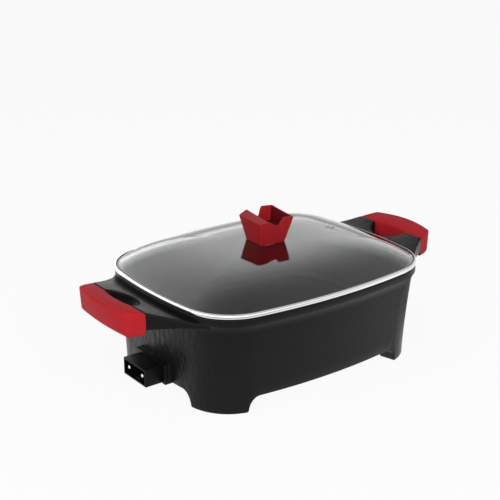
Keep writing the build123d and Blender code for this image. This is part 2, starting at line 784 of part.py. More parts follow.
# Overheat cutout against the floor, its blades under the rear pin and the tube's cold pin
blade_top = pin_height - pin_shank_radius
with BuildPart() as thermal_cutout:
    with Locations((cutout_x, pin_side, floor_underside - cutout_height)):
        Cylinder(cutout_radius, cutout_height, align=base_up)
    with Locations((cutout_x, pin_side, blade_top - blade_sheet / 2)):
        Box(2 * (cutout_radius + blade_reach), blade_width, blade_sheet)

with BuildPart() as cutout_strap:
    with BuildSketch(Plane.YZ.offset(cutout_x - strap_width / 2)):
        with Locations((pin_side, floor_underside - clip_sheet / 2)):
            Rectangle(2 * (strap_reach + clip_foot / 2), clip_sheet)
        strap_half = cutout_radius + strap_play + clip_sheet
        with Locations((pin_side, floor_underside - (cutout_height + clip_sheet) / 2)):
            Rectangle(2 * strap_half, cutout_height + clip_sheet)
        with Locations((pin_side, floor_underside - cutout_height / 2)):
            Rectangle(2 * (strap_half - clip_sheet), cutout_height, mode=Mode.SUBTRACT)
    extrude(amount=strap_width)
    with Locations(*[(cutout_x, pin_side + side * strap_reach, floor_underside) for side in (1, -1)]):
        Cylinder(small_screw_radius + screw_play, 3 * clip_sheet, mode=Mode.SUBTRACT)

# Saddle clips under the tube, each with two screws into the floor
with BuildPart() as element_clips:
    for clip_x, clip_y in clip_places:
        with BuildSketch(Plane.YZ.offset(clip_x - clip_width / 2)):
            saddle = element_radius + clip_play
            with Locations((clip_y, floor_underside - clip_sheet / 2)):
                Rectangle(2 * (clip_reach + clip_foot / 2), clip_sheet)
            with Locations((clip_y, pin_height)):
                Circle(saddle + clip_sheet)
            with Locations((clip_y, pin_height + element_radius / 2)):
                Rectangle(2 * (saddle + clip_sheet), element_radius)
            with Locations((clip_y, pin_height)):
                Circle(saddle, mode=Mode.SUBTRACT)
            with Locations((clip_y, pin_height + element_radius / 2)):
                Rectangle(2 * saddle, element_radius, mode=Mode.SUBTRACT)
            with Locations((clip_y, floor_underside + clip_sheet)):
                Rectangle(4 * saddle, 2 * clip_sheet, mode=Mode.SUBTRACT)
        extrude(amount=clip_width)
    with Locations(*[(x, y, floor_underside) for x, y in clip_screw_places]):
        Cylinder(small_screw_radius + screw_play, 3 * clip_sheet, mode=Mode.SUBTRACT)

with BuildPart() as clip_screws:
    clip_seat = floor_underside - clip_sheet - small_screw_head_height
    with Locations(*[(x, y, clip_seat) for x, y in clip_screw_places]):
        add(
            screw(small_screw_head, small_screw_head_height, small_screw_radius, clip_sheet + small_screw_bite)
        )

# Sheet cover under the heater, with cooling slots
cover_top = floor_underside - boss_length
with BuildPart() as bottom_cover:
    extrude(hollow_outline(cover_top - cover_sheet, cover_play), amount=cover_sheet)
    with Locations(*[(x, y, cover_top) for x, y in boss_places]):
        Cylinder(small_screw_radius + screw_play, 3 * cover_sheet, mode=Mode.SUBTRACT)
    with BuildSketch(Plane.XY.offset(cover_top - cover_sheet)):
        with GridLocations(vent_slot_pitch, 1, vent_slot_rows, 1):
            SlotOverall(vent_slot_length, vent_slot_width, rotation=90)
    extrude(amount=cover_sheet, mode=Mode.SUBTRACT)

with BuildPart() as cover_screws:
    cover_seat = cover_top - cover_sheet - small_screw_head_height
    with Locations(*[(x, y, cover_seat) for x, y in boss_places]):
        add(
            screw(small_screw_head, small_screw_head_height, small_screw_radius, cover_sheet + cover_screw_bite)
        )

pieces = {
    "pot_casting": pot_casting,
    "foot_pads": foot_pads,
    "handle_grip_left": handle_grip_left,
    "handle_grip_right": handle_grip_right,
    "handle_screws": handle_screws,
    "inlet_housing": inlet_housing,
    "inlet_screws": inlet_screws,
    "terminal_pin_front": terminal_pin_front,
    "terminal_pin_rear": terminal_pin_rear,
    "pin_insulators": pin_insulators,
    "earth_contact": earth_contact,
    "earth_screw": earth_screw,
    "heating_element": heating_element,
    "thermal_cutout": thermal_cutout,
    "cutout_strap": cutout_strap,
    "element_clips": element_clips,
    "clip_screws": clip_screws,
    "bottom_cover": bottom_cover,
    "cover_screws": cover_screws,
    "lid_glass": lid_glass,
    "lid_rim_band": lid_rim_band,
    "steam_vent_eyelet": steam_vent_eyelet,
    "lid_knob": lid_knob,
    "knob_insert": knob_insert,
    "knob_screw": knob_screw,
    "knob_washer": knob_washer,
    "knob_seal_upper": knob_seal_upper,
    "knob_seal_lower": knob_seal_lower,
}
os.makedirs("parts", exist_ok=True)
for name, piece in pieces.items():
    piece.part.label = name
    export_step(piece.part, f"parts/{name}.step")
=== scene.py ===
import math

import bmesh
import bpy
from mathutils import Matrix, Vector


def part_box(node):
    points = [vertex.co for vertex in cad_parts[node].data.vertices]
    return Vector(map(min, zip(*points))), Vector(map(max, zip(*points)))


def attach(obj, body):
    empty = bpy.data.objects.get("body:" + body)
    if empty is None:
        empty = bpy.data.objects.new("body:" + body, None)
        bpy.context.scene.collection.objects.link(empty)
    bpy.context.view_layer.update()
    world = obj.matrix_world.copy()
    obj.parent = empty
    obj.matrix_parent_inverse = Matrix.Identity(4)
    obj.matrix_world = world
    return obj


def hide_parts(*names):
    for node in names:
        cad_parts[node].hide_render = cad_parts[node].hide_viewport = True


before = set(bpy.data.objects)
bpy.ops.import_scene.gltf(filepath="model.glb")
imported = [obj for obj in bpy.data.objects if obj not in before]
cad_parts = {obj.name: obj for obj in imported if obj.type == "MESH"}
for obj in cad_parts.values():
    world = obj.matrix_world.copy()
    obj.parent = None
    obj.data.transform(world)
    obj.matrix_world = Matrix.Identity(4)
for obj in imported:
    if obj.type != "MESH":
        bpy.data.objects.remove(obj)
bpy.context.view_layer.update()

# Camera: stands off the pot's front left corner, a little above it, with a long lens.
# Its place and lens come from fitting the pot's outline to the photograph.
camera_place = Vector((-0.8370, -1.0713, 0.6383))
camera_target = Vector((0.0678, 0.1263, 0.0564))
camera_roll = math.radians(0.12)
camera_data = bpy.data.cameras.new("photo_camera")
camera_data.sensor_width = 36.0
camera_data.lens = 77.77
camera_data.shift_x = 0.0002
camera_data.shift_y = 0.0559
camera = bpy.data.objects.new("photo_camera", camera_data)
bpy.context.scene.collection.objects.link(camera)
aim = (camera_target - camera_place).to_track_quat("-Z", "Y").to_matrix().to_4x4()
camera.matrix_world = Matrix.Translation(camera_place) @ aim @ Matrix.Rotation(camera_roll, 4, "Z")
bpy.context.scene.camera = camera
bpy.context.scene.view_settings.view_transform = "Standard"

# Studio sweep: a white backdrop, brightest low down and on the left, and dim overhead.
# It shows white to the camera, and polished metal and glass mirror it, but it lights the pot softly.
sweep_white = 0.992
sweep_low = 1.50
sweep_overhead = 0.44
sweep_bright_below = 0.30
sweep_dim_above = 0.95
sweep_at_floor = 0.78
sweep_full_above = 0.20
sweep_left_edge = -0.3
sweep_right_edge = 0.9
sweep_left_gain = 1.25
sweep_right_gain = 0.56
room_light = 0.34


def ramp(tree, value, start, end, low, high):
    """A value that runs from low to high while the one it follows runs from start to end."""
    node = tree.nodes.new("ShaderNodeMapRange")
    node.inputs["From Min"].default_value = start
    node.inputs["From Max"].default_value = end
    node.inputs["To Min"].default_value = low
    node.inputs["To Max"].default_value = high
    tree.links.new(value, node.inputs["Value"])
    return node.outputs["Result"]


def combined(tree, operation, *values):
    """Values joined by a math operation."""
    node = tree.nodes.new("ShaderNodeMath")
    node.operation = operation
    for number, value in enumerate(values):
        tree.links.new(value, node.inputs[number])
    return node.outputs["Value"]


def switched(tree, switch, off, on):
    """One of two values, each a number or another node's output, as the switch is 0 or 1."""
    node = tree.nodes.new("ShaderNodeMix")
    tree.links.new(switch, node.inputs["Factor"])
    for name, value in (("A", off), ("B", on)):
        if isinstance(value, float):
            node.inputs[name].default_value = value
        else:
            tree.links.new(value, node.inputs[name])
    return node.outputs["Result"]


world = bpy.data.worlds.new("studio")
world.use_nodes = True
bpy.context.scene.world = world
sky = world.node_tree
sky.nodes.clear()
sky_place = sky.nodes.new("ShaderNodeTexCoord")
heading = sky.nodes.new("ShaderNodeSeparateXYZ")
sky.links.new(sky_place.outputs["Generated"], heading.inputs["Vector"])
upward = heading.outputs["Z"]
rightward = heading.outputs["X"]
falloff = ramp(sky, upward, sweep_bright_below, sweep_dim_above, sweep_low, sweep_overhead)
near_floor = ramp(sky, upward, 0.0, sweep_full_above, sweep_at_floor, 1.0)
across = ramp(sky, rightward, sweep_left_edge, sweep_right_edge, sweep_left_gain, sweep_right_gain)
sweep_light = combined(sky, "MULTIPLY", combined(sky, "MULTIPLY", falloff, near_floor), across)
ray = sky.nodes.new("ShaderNodeLightPath").outputs
mirrored = combined(sky, "MAXIMUM", ray["Is Glossy Ray"], ray["Is Transmission Ray"])
mirror_light = switched(sky, mirrored, room_light, sweep_light)
background = sky.nodes.new("ShaderNodeBackground")
background.inputs["Color"].default_value = (1.0, 1.0, 1.0, 1.0)
sky.links.new(switched(sky, ray["Is Camera Ray"], mirror_light, sweep_white), background.inputs["Strength"])
world_out = sky.nodes.new("ShaderNodeOutputWorld")
sky.links.new(background.outputs["Background"], world_out.inputs["Surface"])

# Studio floor: white and even to the camera, with a share of real shading that keeps the pot's shadow.
# In mirrors its glow is painted: bright behind the pot, darker in front of it, with a painted shadow of the
# pot close behind it.
# From below it is clear.
floor_reach = 12.0
floor_colour = (0.9, 0.9, 0.9, 1.0)
floor_glow = 0.93
floor_dark_edge = -0.55
floor_bright_edge = -0.05
floor_dark = 0.35
floor_bright = 1.15
shade_upto = 0.30
shade_ends = 0.52
shade_level = 0.15
shade_front_edge = 0.02
shade_back_edge = 0.15
studio_depth = Vector((0.6, 0.8))
floor_mesh = bmesh.new()
bmesh.ops.create_grid(floor_mesh, x_segments=1, y_segments=1, size=floor_reach)
floor_data = bpy.data.meshes.new("floor")
floor_mesh.to_mesh(floor_data)
floor_mesh.free()
floor = bpy.data.objects.new("floor", floor_data)
bpy.context.scene.collection.objects.link(floor)
floor_paint = bpy.data.materials.new("floor_paint")
floor_paint.use_nodes = True
paint = floor_paint.node_tree
paint.nodes.clear()
lit_floor = paint.nodes.new("ShaderNodeBsdfDiffuse")
lit_floor.inputs["Color"].default_value = floor_colour
white_floor = paint.nodes.new("ShaderNodeEmission")
floor_ray = paint.nodes.new("ShaderNodeLightPath").outputs
floor_place = paint.nodes.new("ShaderNodeTexCoord")
floor_turn = paint.nodes.new("ShaderNodeMapping")
floor_turn.inputs["Rotation"].default_value = (0, 0, -math.atan2(studio_depth.y, studio_depth.x))
paint.links.new(floor_place.outputs["Object"], floor_turn.inputs["Vector"])
floor_axes = paint.nodes.new("ShaderNodeSeparateXYZ")
paint.links.new(floor_turn.outputs["Vector"], floor_axes.inputs["Vector"])
floor_depth = floor_axes.outputs["X"]
floor_distance = paint.nodes.new("ShaderNodeVectorMath")
floor_distance.operation = "LENGTH"
paint.links.new(floor_place.outputs["Object"], floor_distance.inputs[0])
front_to_back = ramp(paint, floor_depth, floor_dark_edge, floor_bright_edge, floor_dark, floor_bright)
# A painted shadow of the pot on the floor, seen only in mirrors: darker near the pot's middle and behind it.
away_from_pot = ramp(paint, floor_distance.outputs["Value"], shade_upto, shade_ends, shade_level, 1.0)
before_pot = ramp(paint, floor_depth, shade_front_edge, shade_back_edge, 1.0, 0.0)
unshaded = combined(paint, "MAXIMUM", away_from_pot, before_pot)
floor_in_mirrors = combined(paint, "MULTIPLY", front_to_back, unshaded)
floor_strength = switched(paint, floor_ray["Is Glossy Ray"], sweep_white, floor_in_mirrors)
paint.links.new(floor_strength, white_floor.inputs["Strength"])
floor_seen = combined(paint, "MAXIMUM", floor_ray["Is Camera Ray"], floor_ray["Is Transmission Ray"])
floor_seen = combined(paint, "MAXIMUM", floor_seen, floor_ray["Is Glossy Ray"])
floor_mix = paint.nodes.new("ShaderNodeMixShader")
paint.links.new(ramp(paint, floor_seen, 0.0, 1.0, 0.0, floor_glow), floor_mix.inputs["Fac"])
paint.links.new(lit_floor.outputs["BSDF"], floor_mix.inputs[1])
paint.links.new(white_floor.outputs["Emission"], floor_mix.inputs[2])
floor_side = paint.nodes.new("ShaderNodeNewGeometry")
clear_floor = paint.nodes.new("ShaderNodeBsdfTransparent")
floor_from_below = paint.nodes.new("ShaderNodeMixShader")
paint.links.new(floor_side.outputs["Backfacing"], floor_from_below.inputs["Fac"])
paint.links.new(floor_mix.outputs["Shader"], floor_from_below.inputs[1])
paint.links.new(clear_floor.outputs["BSDF"], floor_from_below.inputs[2])
floor_out = paint.nodes.new("ShaderNodeOutputMaterial")
paint.links.new(floor_from_below.outputs["Shader"], floor_out.inputs["Surface"])
floor_data.materials.append(floor_paint)

# Studio lamps: a large soft box in front and a second one to the left.
# They light the colours and are left out of mirrors, which show only the sweep and the floor.
lamp_target = Vector((0, 0, 0.1))
front_box_place = Vector((-0.5, -2.4, 1.5))
front_box_width = 1.6
front_box_watts = 42
left_box_place = Vector((-2.2, -0.4, 1.4))
left_box_width = 1.4
left_box_watts = 26


def soft_box(name, place, width, watts):
    """A square soft box that faces the pot and doesn't show in mirrors."""
    lamp_data = bpy.data.lights.new(name, "AREA")
    lamp_data.size = width
    lamp_data.energy = watts
    lamp = bpy.data.objects.new(name, lamp_data)
    lamp.location = place
    lamp.rotation_euler = (lamp_target - place).to_track_quat("-Z", "Y").to_euler()
    lamp.visible_glossy = False
    bpy.context.scene.collection.objects.link(lamp)


soft_box("front_box", front_box_place, front_box_width, front_box_watts)
soft_box("left_box", left_box_place, left_box_width, left_box_watts)

# Pot: one aluminium casting with a black non-stick coat, smooth inside and finely hammered outside.
# The wall leans in to four corner legs with arches between, and flares to a heavy lip.
# Bowed rings are drawn up from the hollow underneath, over the lip and down to the pan's floor.
pot_low, pot_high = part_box("pot_casting")
band_low, band_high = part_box("lid_rim_band")
lid_half_length = band_high.x
lid_half_width = band_high.y
lid_corner = 0.0725
long_side_bow = 0.818
end_bow = 0.581
lug_tip_rise = 0.0072
rim_height = pot_high.z - lug_tip_rise
rim_margin = 0.001
lip_height = 0.0088
lip_flare = 0.0135
lip_overhang = 0.005
lip_round = 0.0014
flare_curve = 1.7
flare_start = rim_height - lip_height - lip_flare
foot_draft_long = 0.0046
foot_draft_wide = 0.0079
foot_corner_loss = 0.0025
wall_curve = 1.6
wall_thickness = 0.004
floor_underside = 0.03675
floor_top = 0.04175
floor_round = 0.010
leg_thickness = 0.023
skirt_height = 0.0205
long_arch_half = 0.124
long_arch_curve = 0.016
end_arch_half = 0.071
end_arch_curve = 0.017
foot_height = pot_low.z
foot_round = 0.0012
arch_margin = 0.004
low_wall = skirt_height + arch_margin
rim_inside = rim_margin + lip_overhang + wall_thickness
ring_count = 640
end_share = 0.30
side_share = 0.70
edge_steps = 4
climb_steps = 4
wall_steps = 7
flare_steps = 8
pan_steps = 5
floor_steps = 8


def bowed_outline(half_length, half_width, corner):
    """Rectangle with bowed sides and round corners: gives the place at each share of a turn."""
    long_bow = long_side_bow - (lid_half_width - half_width)
    short_bow = end_bow - (lid_half_length - half_length)
    long_centre = Vector((0.0, half_width - long_bow))
    short_centre = Vector((half_length - short_bow, 0.0))
    between = short_centre - long_centre
    long_reach = long_bow - corner
    along = (long_reach**2 - (short_bow - corner) ** 2 + between.length_squared) / (2 * between.length)
    aside = math.sqrt(long_reach**2 - along**2)
    toward = between.normalized()
    corner_centre = long_centre + toward * along + Vector((toward.y, -toward.x)) * aside
    end_reach = corner_centre - short_centre
    side_reach = corner_centre - long_centre
    end_angle = math.atan2(end_reach.y, end_reach.x)
    side_angle = math.atan2(side_reach.y, side_reach.x)

    def place(turn):
        quarter = int(turn * 4) % 4
        share = turn * 4 - int(turn * 4)
        if quarter % 2:
            share = 1 - share
        if share < end_share:
            angle = end_angle * share / end_share
            centre, radius = short_centre, short_bow
        elif share < side_share:
            angle = end_angle + (side_angle - end_angle) * (share - end_share) / (side_share - end_share)
            centre, radius = corner_centre, corner
        else:
            angle = side_angle + (math.pi / 2 - side_angle) * (share - side_share) / (1 - side_share)
            centre, radius = long_centre, long_bow
        x = centre.x + radius * math.cos(angle)
        y = centre.y + radius * math.sin(angle)
        return x * (-1 if quarter in (1, 2) else 1), y * (-1 if quarter > 1 else 1)

    return place


def lid_outline(inset):
    """Outline parallel to the lid's edge."""
    return bowed_outline(lid_half_length - inset, lid_half_width - inset, lid_corner - inset)


def wall_outline(level, inset=0.0):
    """Outline of the pot's wall at a level: the wall leans in towards the foot."""
    lean = 1 - (max(level, 0) / flare_start) ** wall_curve
    setback = rim_margin + lip_overhang + inset
    return bowed_outline(
        lid_half_length - setback - foot_draft_long * lean,
        lid_half_width - setback - foot_draft_wide * lean,
        lid_corner - setback - foot_corner_loss * lean,
    )


def arch(distance, half, curve):
    """Height of an arch's edge at this distance from its middle."""
    past = (distance - half + curve) / curve
    return skirt_height * math.sqrt(max(0.0, 1 - max(0.0, past) ** 2))


foot_outline = wall_outline(0)
leg_inside = wall_outline(0, leg_thickness)
skirt_inside = wall_outline(0, wall_thickness)


def skirt_edge(turn):
    """Height of the casting's lower edge, on the legs and over the arches."""
    x, y = foot_outline(turn)
    long_edge = arch(abs(x), long_arch_half, long_arch_curve)
    end_edge = arch(abs(y), end_arch_half, end_arch_curve)
    return max(foot_height, long_edge, end_edge)


def hollow_outline(turn):
    """Inside of the skirt: thin over the arches, thick in the legs."""
    x, y = foot_outline(turn)
    past_long_arch = abs(x) > long_arch_half - long_arch_curve
    past_end_arch = abs(y) > end_arch_half - end_arch_curve
    return leg_inside(turn) if past_long_arch and past_end_arch else skirt_inside(turn)


def first_ring(piece, outline, height):
    """A ring of edges on an outline. Each vertex keeps its share of a turn for the rings that follow."""
    turn = piece.verts.layers.float.new("turn")
    ring = bmesh.ops.create_circle(piece, segments=ring_count, radius=1)["verts"]
    for vert in ring:
        vert[turn] = (math.atan2(vert.co.y, vert.co.x) / math.tau) % 1
    lay_ring(piece, ring, outline, height)
    return list({edge for vert in ring for edge in vert.link_edges})


def lay_ring(piece, ring, outline, height):
    """Moves a ring's vertices onto an outline, at one height or at a height for each share of a turn."""
    turn = piece.verts.layers.float["turn"]
    for vert in ring:
        level = height(vert[turn]) if callable(height) else height
        vert.co = (*outline(vert[turn]), level)


def next_ring(piece, ring, outline, height):
    """Draws a ring of edges out to another outline and height."""
    drawn = bmesh.ops.extrude_edge_only(piece, edges=ring)["geom"]
    lay_ring(piece, [part for part in drawn if isinstance(part, bmesh.types.BMVert)], outline, height)
    return [part for part in drawn if isinstance(part, bmesh.types.BMEdge)]


def quarter_round(radius, steps):
    """Distances from the two sides that a round edge joins, in steps along the round."""
    for step in range(steps + 1):
        angle = step / steps * math.pi / 2
        yield radius * (1 - math.sin(angle)), radius * (1 - math.cos(angle))


pot = bmesh.new()
edge_ring = first_ring(pot, hollow_outline, floor_underside)
bmesh.ops.edgeloop_fill(pot, edges=edge_ring)
edge_ring = next_ring(pot, edge_ring, hollow_outline, skirt_edge)
for setback, lift in quarter_round(foot_round, edge_steps):
    edge_ring = next_ring(pot, edge_ring, wall_outline(0, setback), lambda turn: skirt_edge(turn) + lift)
for step in range(1, climb_steps + 1):
    share = step / climb_steps

    def climbing(turn):
        return (skirt_edge(turn) + foot_round) * (1 - share) + low_wall * share

    edge_ring = next_ring(pot, edge_ring, wall_outline(low_wall * share), climbing)
for step in range(1, wall_steps + 1):
    level = low_wall + (flare_start - low_wall) * step / wall_steps
    edge_ring = next_ring(pot, edge_ring, wall_outline(level), level)
for step in range(1, flare_steps + 1):
    share = step / flare_steps
    setback = rim_margin + lip_overhang * (1 - share**flare_curve)
    edge_ring = next_ring(pot, edge_ring, lid_outline(setback), flare_start + lip_flare * share)
for drop, setback in quarter_round(lip_round, edge_steps):
    edge_ring = next_ring(pot, edge_ring, lid_outline(rim_margin + setback), rim_height - drop)
for setback, drop in quarter_round(lip_round, edge_steps):
    edge_ring = next_ring(pot, edge_ring, lid_outline(rim_inside - setback), rim_height - drop)
outside_faces = set(pot.faces)
for step in range(pan_steps + 1):
    level = flare_start + (floor_top + floor_round - flare_start) * step / pan_steps
    edge_ring = next_ring(pot, edge_ring, wall_outline(level, wall_thickness), level)
for lift, setback in list(quarter_round(floor_round, floor_steps))[1:]:
    level = floor_top + lift
    edge_ring = next_ring(pot, edge_ring, wall_outline(level, wall_thickness + setback), level)
bmesh.ops.edgeloop_fill(pot, edges=edge_ring)
for face in pot.faces:
    if face not in outside_faces:
        face.material_index = 1


def finish_of(name, colour, roughness, metallic=0.0, gloss=0.5):
    """A new material with these values on its surface shader."""
    finish = bpy.data.materials.new(name)
    finish.use_nodes = True
    shader = finish.node_tree.nodes["Principled BSDF"]
    shader.inputs["Base Color"].default_value = (*colour, 1.0)
    shader.inputs["Roughness"].default_value = roughness
    shader.inputs["Metallic"].default_value = metallic
    shader.inputs["Specular IOR Level"].default_value = gloss
    return finish, shader


def grain(finish, per_metre, stretch=(1, 1, 1), kind="ShaderNodeTexNoise"):
    """A texture node on the piece's own coordinates, with this many features to a metre."""
    tree = finish.node_tree
    place = tree.nodes.new("ShaderNodeTexCoord")
    mapping = tree.nodes.new("ShaderNodeMapping")
    mapping.inputs["Scale"].default_value = stretch
    texture = tree.nodes.new(kind)
    texture.inputs["Scale"].default_value = per_metre
    tree.links.new(place.outputs["Object"], mapping.inputs["Vector"])
    tree.links.new(mapping.outputs["Vector"], texture.inputs["Vector"])
    return texture


def relief(finish, shader, *heights):
    """Bumps on the shader, one for each pair of a height and its depth in metres."""
    tree = finish.node_tree
    bumps = []
    for height, depth in heights:
        bump = tree.nodes.new("ShaderNodeBump")
        bump.inputs["Distance"].default_value = depth
        tree.links.new(height, bump.inputs["Height"])
        if bumps:
            tree.links.new(bumps[-1].outputs["Normal"], bump.inputs["Normal"])
        bumps.append(bump)
    tree.links.new(bumps[-1].outputs["Normal"], shader.inputs["Normal"])
    return bumps


def spread(finish, texture, socket, low, high):
    """Lets a noise texture move a shader value between low and high."""
    tree = finish.node_tree
    tree.links.new(ramp(tree, texture.outputs["Fac"], 0.0, 1.0, low, high), socket)


def grained(name, colour, roughness, per_metre, depth=0.0, metallic=0.0, gloss=0.5, stretch=(1, 1, 1)):
    """A finish with a fine grain, which moves the roughness between two values and may stand up."""
    finish, shader = finish_of(name, colour, sum(roughness) / 2, metallic, gloss)
    noise = grain(finish, per_metre, stretch)
    spread(finish, noise, shader.inputs["Roughness"], *roughness)
    if depth:
        relief(finish, shader, (noise.outputs["Fac"], depth))
    return finish


def put_in_place(piece, name, body, finishes, replaced, sharp_over=35.0):
    """Turns a finished bmesh into a smooth shaded piece that rides on a body and stands for CAD nodes."""
    bmesh.ops.recalc_face_normals(piece, faces=piece.faces)
    data = bpy.data.meshes.new(name)
    piece.to_mesh(data)
    piece.free()
    for face in data.polygons:
        face.use_smooth = True
    data.set_sharp_from_angle(angle=math.radians(sharp_over))
    for finish in finishes:
        data.materials.append(finish)
    made = bpy.data.objects.new(name, data)
    bpy.context.scene.collection.objects.link(made)
    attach(made, body)
    if replaced:
        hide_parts(*replaced)


coat_black = (0.0065, 0.0065, 0.0075)
coat_roughness = (0.28, 0.38)
hammer_depth = 0.0008
wave_depth = 0.0005
speck_depth = 0.00006
end_from = 0.11
end_to = 0.18
wall_upto = 0.112
lip_from = 0.124
calm_side = 0.15
calm_lip = 0.45
hammered_coat, coat_shader = finish_of("hammered_coat", coat_black, sum(coat_roughness) / 2, gloss=0.14)
hammer_marks = grain(hammered_coat, per_metre=150, stretch=(1, 1, 0.55), kind="ShaderNodeTexVoronoi")
hammer_marks.feature = "SMOOTH_F1"
hammer_marks.inputs["Smoothness"].default_value = 0.8
coat_waves = grain(hammered_coat, per_metre=60)
coat_specks = grain(hammered_coat, per_metre=800)
hammer_bump, wave_bump, _ = relief(
    hammered_coat,
    coat_shader,
    (hammer_marks.outputs["Distance"], hammer_depth),
    (coat_waves.outputs["Fac"], wave_depth),
    (coat_specks.outputs["Fac"], speck_depth),
)
spread(hammered_coat, coat_waves, coat_shader.inputs["Roughness"], *coat_roughness)
coat = hammered_coat.node_tree
coat_place = coat.nodes.new("ShaderNodeTexCoord")
coat_axes = coat.nodes.new("ShaderNodeSeparateXYZ")
coat.links.new(coat_place.outputs["Object"], coat_axes.inputs["Vector"])
from_middle = combined(coat, "ABSOLUTE", coat_axes.outputs["X"])
towards_ends = ramp(coat, from_middle, end_from, end_to, calm_side, 1.0)
below_lip = ramp(coat, coat_axes.outputs["Z"], wall_upto, lip_from, 1.0, calm_lip)
hammering = combined(coat, "MULTIPLY", towards_ends, below_lip)
coat.links.new(hammering, hammer_bump.inputs["Strength"])
coat.links.new(hammering, wave_bump.inputs["Strength"])
pan_black = (0.006, 0.006, 0.0065)
pan_coat = grained("pan_coat", pan_black, roughness=(0.33, 0.43), per_metre=700, depth=0.00005, gloss=0.10)
put_in_place(pot, "pot_body", "base", [hammered_coat, pan_coat], ["pot_casting"])

# Inlet boss: a flat pad cast on the pot's left end, which the inlet's flange is screwed to.
# It is coated with the pot.
flange_low, flange_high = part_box("inlet_housing")
flange_thickness = 0.004
flange_reach = 0.0241
boss_face = flange_low.x + flange_reach + flange_thickness
boss_depth = 0.016
boss_round = 0.0008


def block(low, high):
    """A box between two corners."""
    piece = bmesh.new()
    bmesh.ops.create_cube(piece, size=1)
    low, high = Vector(low), Vector(high)
    bmesh.ops.scale(piece, vec=high - low, verts=piece.verts)
    bmesh.ops.translate(piece, vec=(low + high) / 2, verts=piece.verts)
    return piece


def round_edges(piece, edges, radius, steps=3):
    """Rounds edges with an arc of flat strips."""
    bmesh.ops.bevel(
        piece,
        geom=edges,
        offset=radius,
        segments=steps,
        profile=0.5,
        affect="EDGES",
        material=-1,
        clamp_overlap=False,
    )


boss = block((boss_face, flange_low.y, skirt_height), (boss_face + boss_depth, flange_high.y, flange_high.z))
round_edges(boss, list(boss.edges), boss_round)
put_in_place(boss, "inlet_boss", "base", [hammered_coat], [])

# Handle lugs: two arms and a web at each end, cast with the pot and coated with it.
# They thicken from the wall to the grip, rise from under the rim, and leave a gap for the fingers.
wall_end = lid_half_length - rim_margin - lip_overhang
lug_root_setback = 0.0125
lug_root = wall_end - lug_root_setback
lug_root_half = 0.108
lug_root_drop = 0.0068
lug_root_thickness = 0.0068
lug_root_top = rim_height - lug_root_drop
lug_root_bottom = lug_root_top - lug_root_thickness
lug_tip_setback = 0.014
lug_tip = pot_high.x - lug_tip_setback
lug_tip_half = 0.063
lug_tip_thickness = 0.022
lug_tip_top = pot_high.z
lug_tip_bottom = lug_tip_top - lug_tip_thickness
lug_flank_hollow = 0.0032
lug_top_hollow = 0.0003
lug_round = 0.0022
lug_strips = 14
flank_steps = 16
gap_steps = 24
wall_samples = 200
end_samples = 24
finger_gap_half = 0.032
finger_gap_depth = 0.025
finger_gap_shoulder = 0.020
finger_gap_round = 0.003
same_place = 1e-5


def arc_through(start, middle, end, steps):
    """Places along the circle through three points, without its last point."""
    start, middle, end = Vector(start), Vector(middle), Vector(end)
    chord = (end - start).normalized()
    half = (end - start).length / 2
    bulge = middle - (start + end) / 2
    rise = bulge.length
    radius = (half**2 + rise**2) / (2 * rise)
    centre = middle - bulge.normalized() * radius
    swing = math.asin(half / radius)
    for step in range(steps):
        angle = swing * (2 * step / steps - 1)
        yield centre + (bulge.normalized() * math.cos(angle) + chord * math.sin(angle)) * radius


def flat_plan(outline, turned):
    """A flat face on an outline of plan points, turned end for end for the pot's left side."""
    piece = bmesh.new()
    corners = [piece.verts.new((turned * x, y, 0)) for x, y in outline]
    piece.faces.new(corners)
    return piece


def round_plan(piece, places, radius, steps=6):
    """Rounds the plan's corners that lie at these places."""
    picked = [v for v in piece.verts if any((Vector(p) - v.co.xy).length < same_place for p in places)]
    bmesh.ops.bevel(
        piece, geom=picked, offset=radius, segments=steps, profile=0.5, affect="VERTICES", material=-1
    )


def thicken(piece):
    """Raises a plan by one unit, and gives its lower and upper vertices."""
    lower = list(piece.verts)
    raised = bmesh.ops.extrude_face_region(piece, geom=list(piece.faces), use_keep_orig=True)["geom"]
    upper = [part for part in raised if isinstance(part, bmesh.types.BMVert)]
    bmesh.ops.translate(piece, vec=(0, 0, 1), verts=upper)
    bmesh.ops.recalc_face_normals(piece, faces=piece.faces)
    return lower, upper


def rim_edges(piece, verts, turn_over=40.0):
    """The sharp edges between these vertices."""
    rim = set(verts)
    inside = [edge for edge in piece.edges if edge.verts[0] in rim and edge.verts[1] in rim]
    return [edge for edge in inside if edge.calc_face_angle(0) > math.radians(turn_over)]


def lug_level(distance, at_root, at_tip, hollow):
    """Height of the lug's top or underside at a distance from the pot's middle."""
    share = min(max((distance - wall_end) / (lug_tip - wall_end), 0), 1)
    return at_root + (at_tip - at_root) * share - 4 * hollow * share * (1 - share)


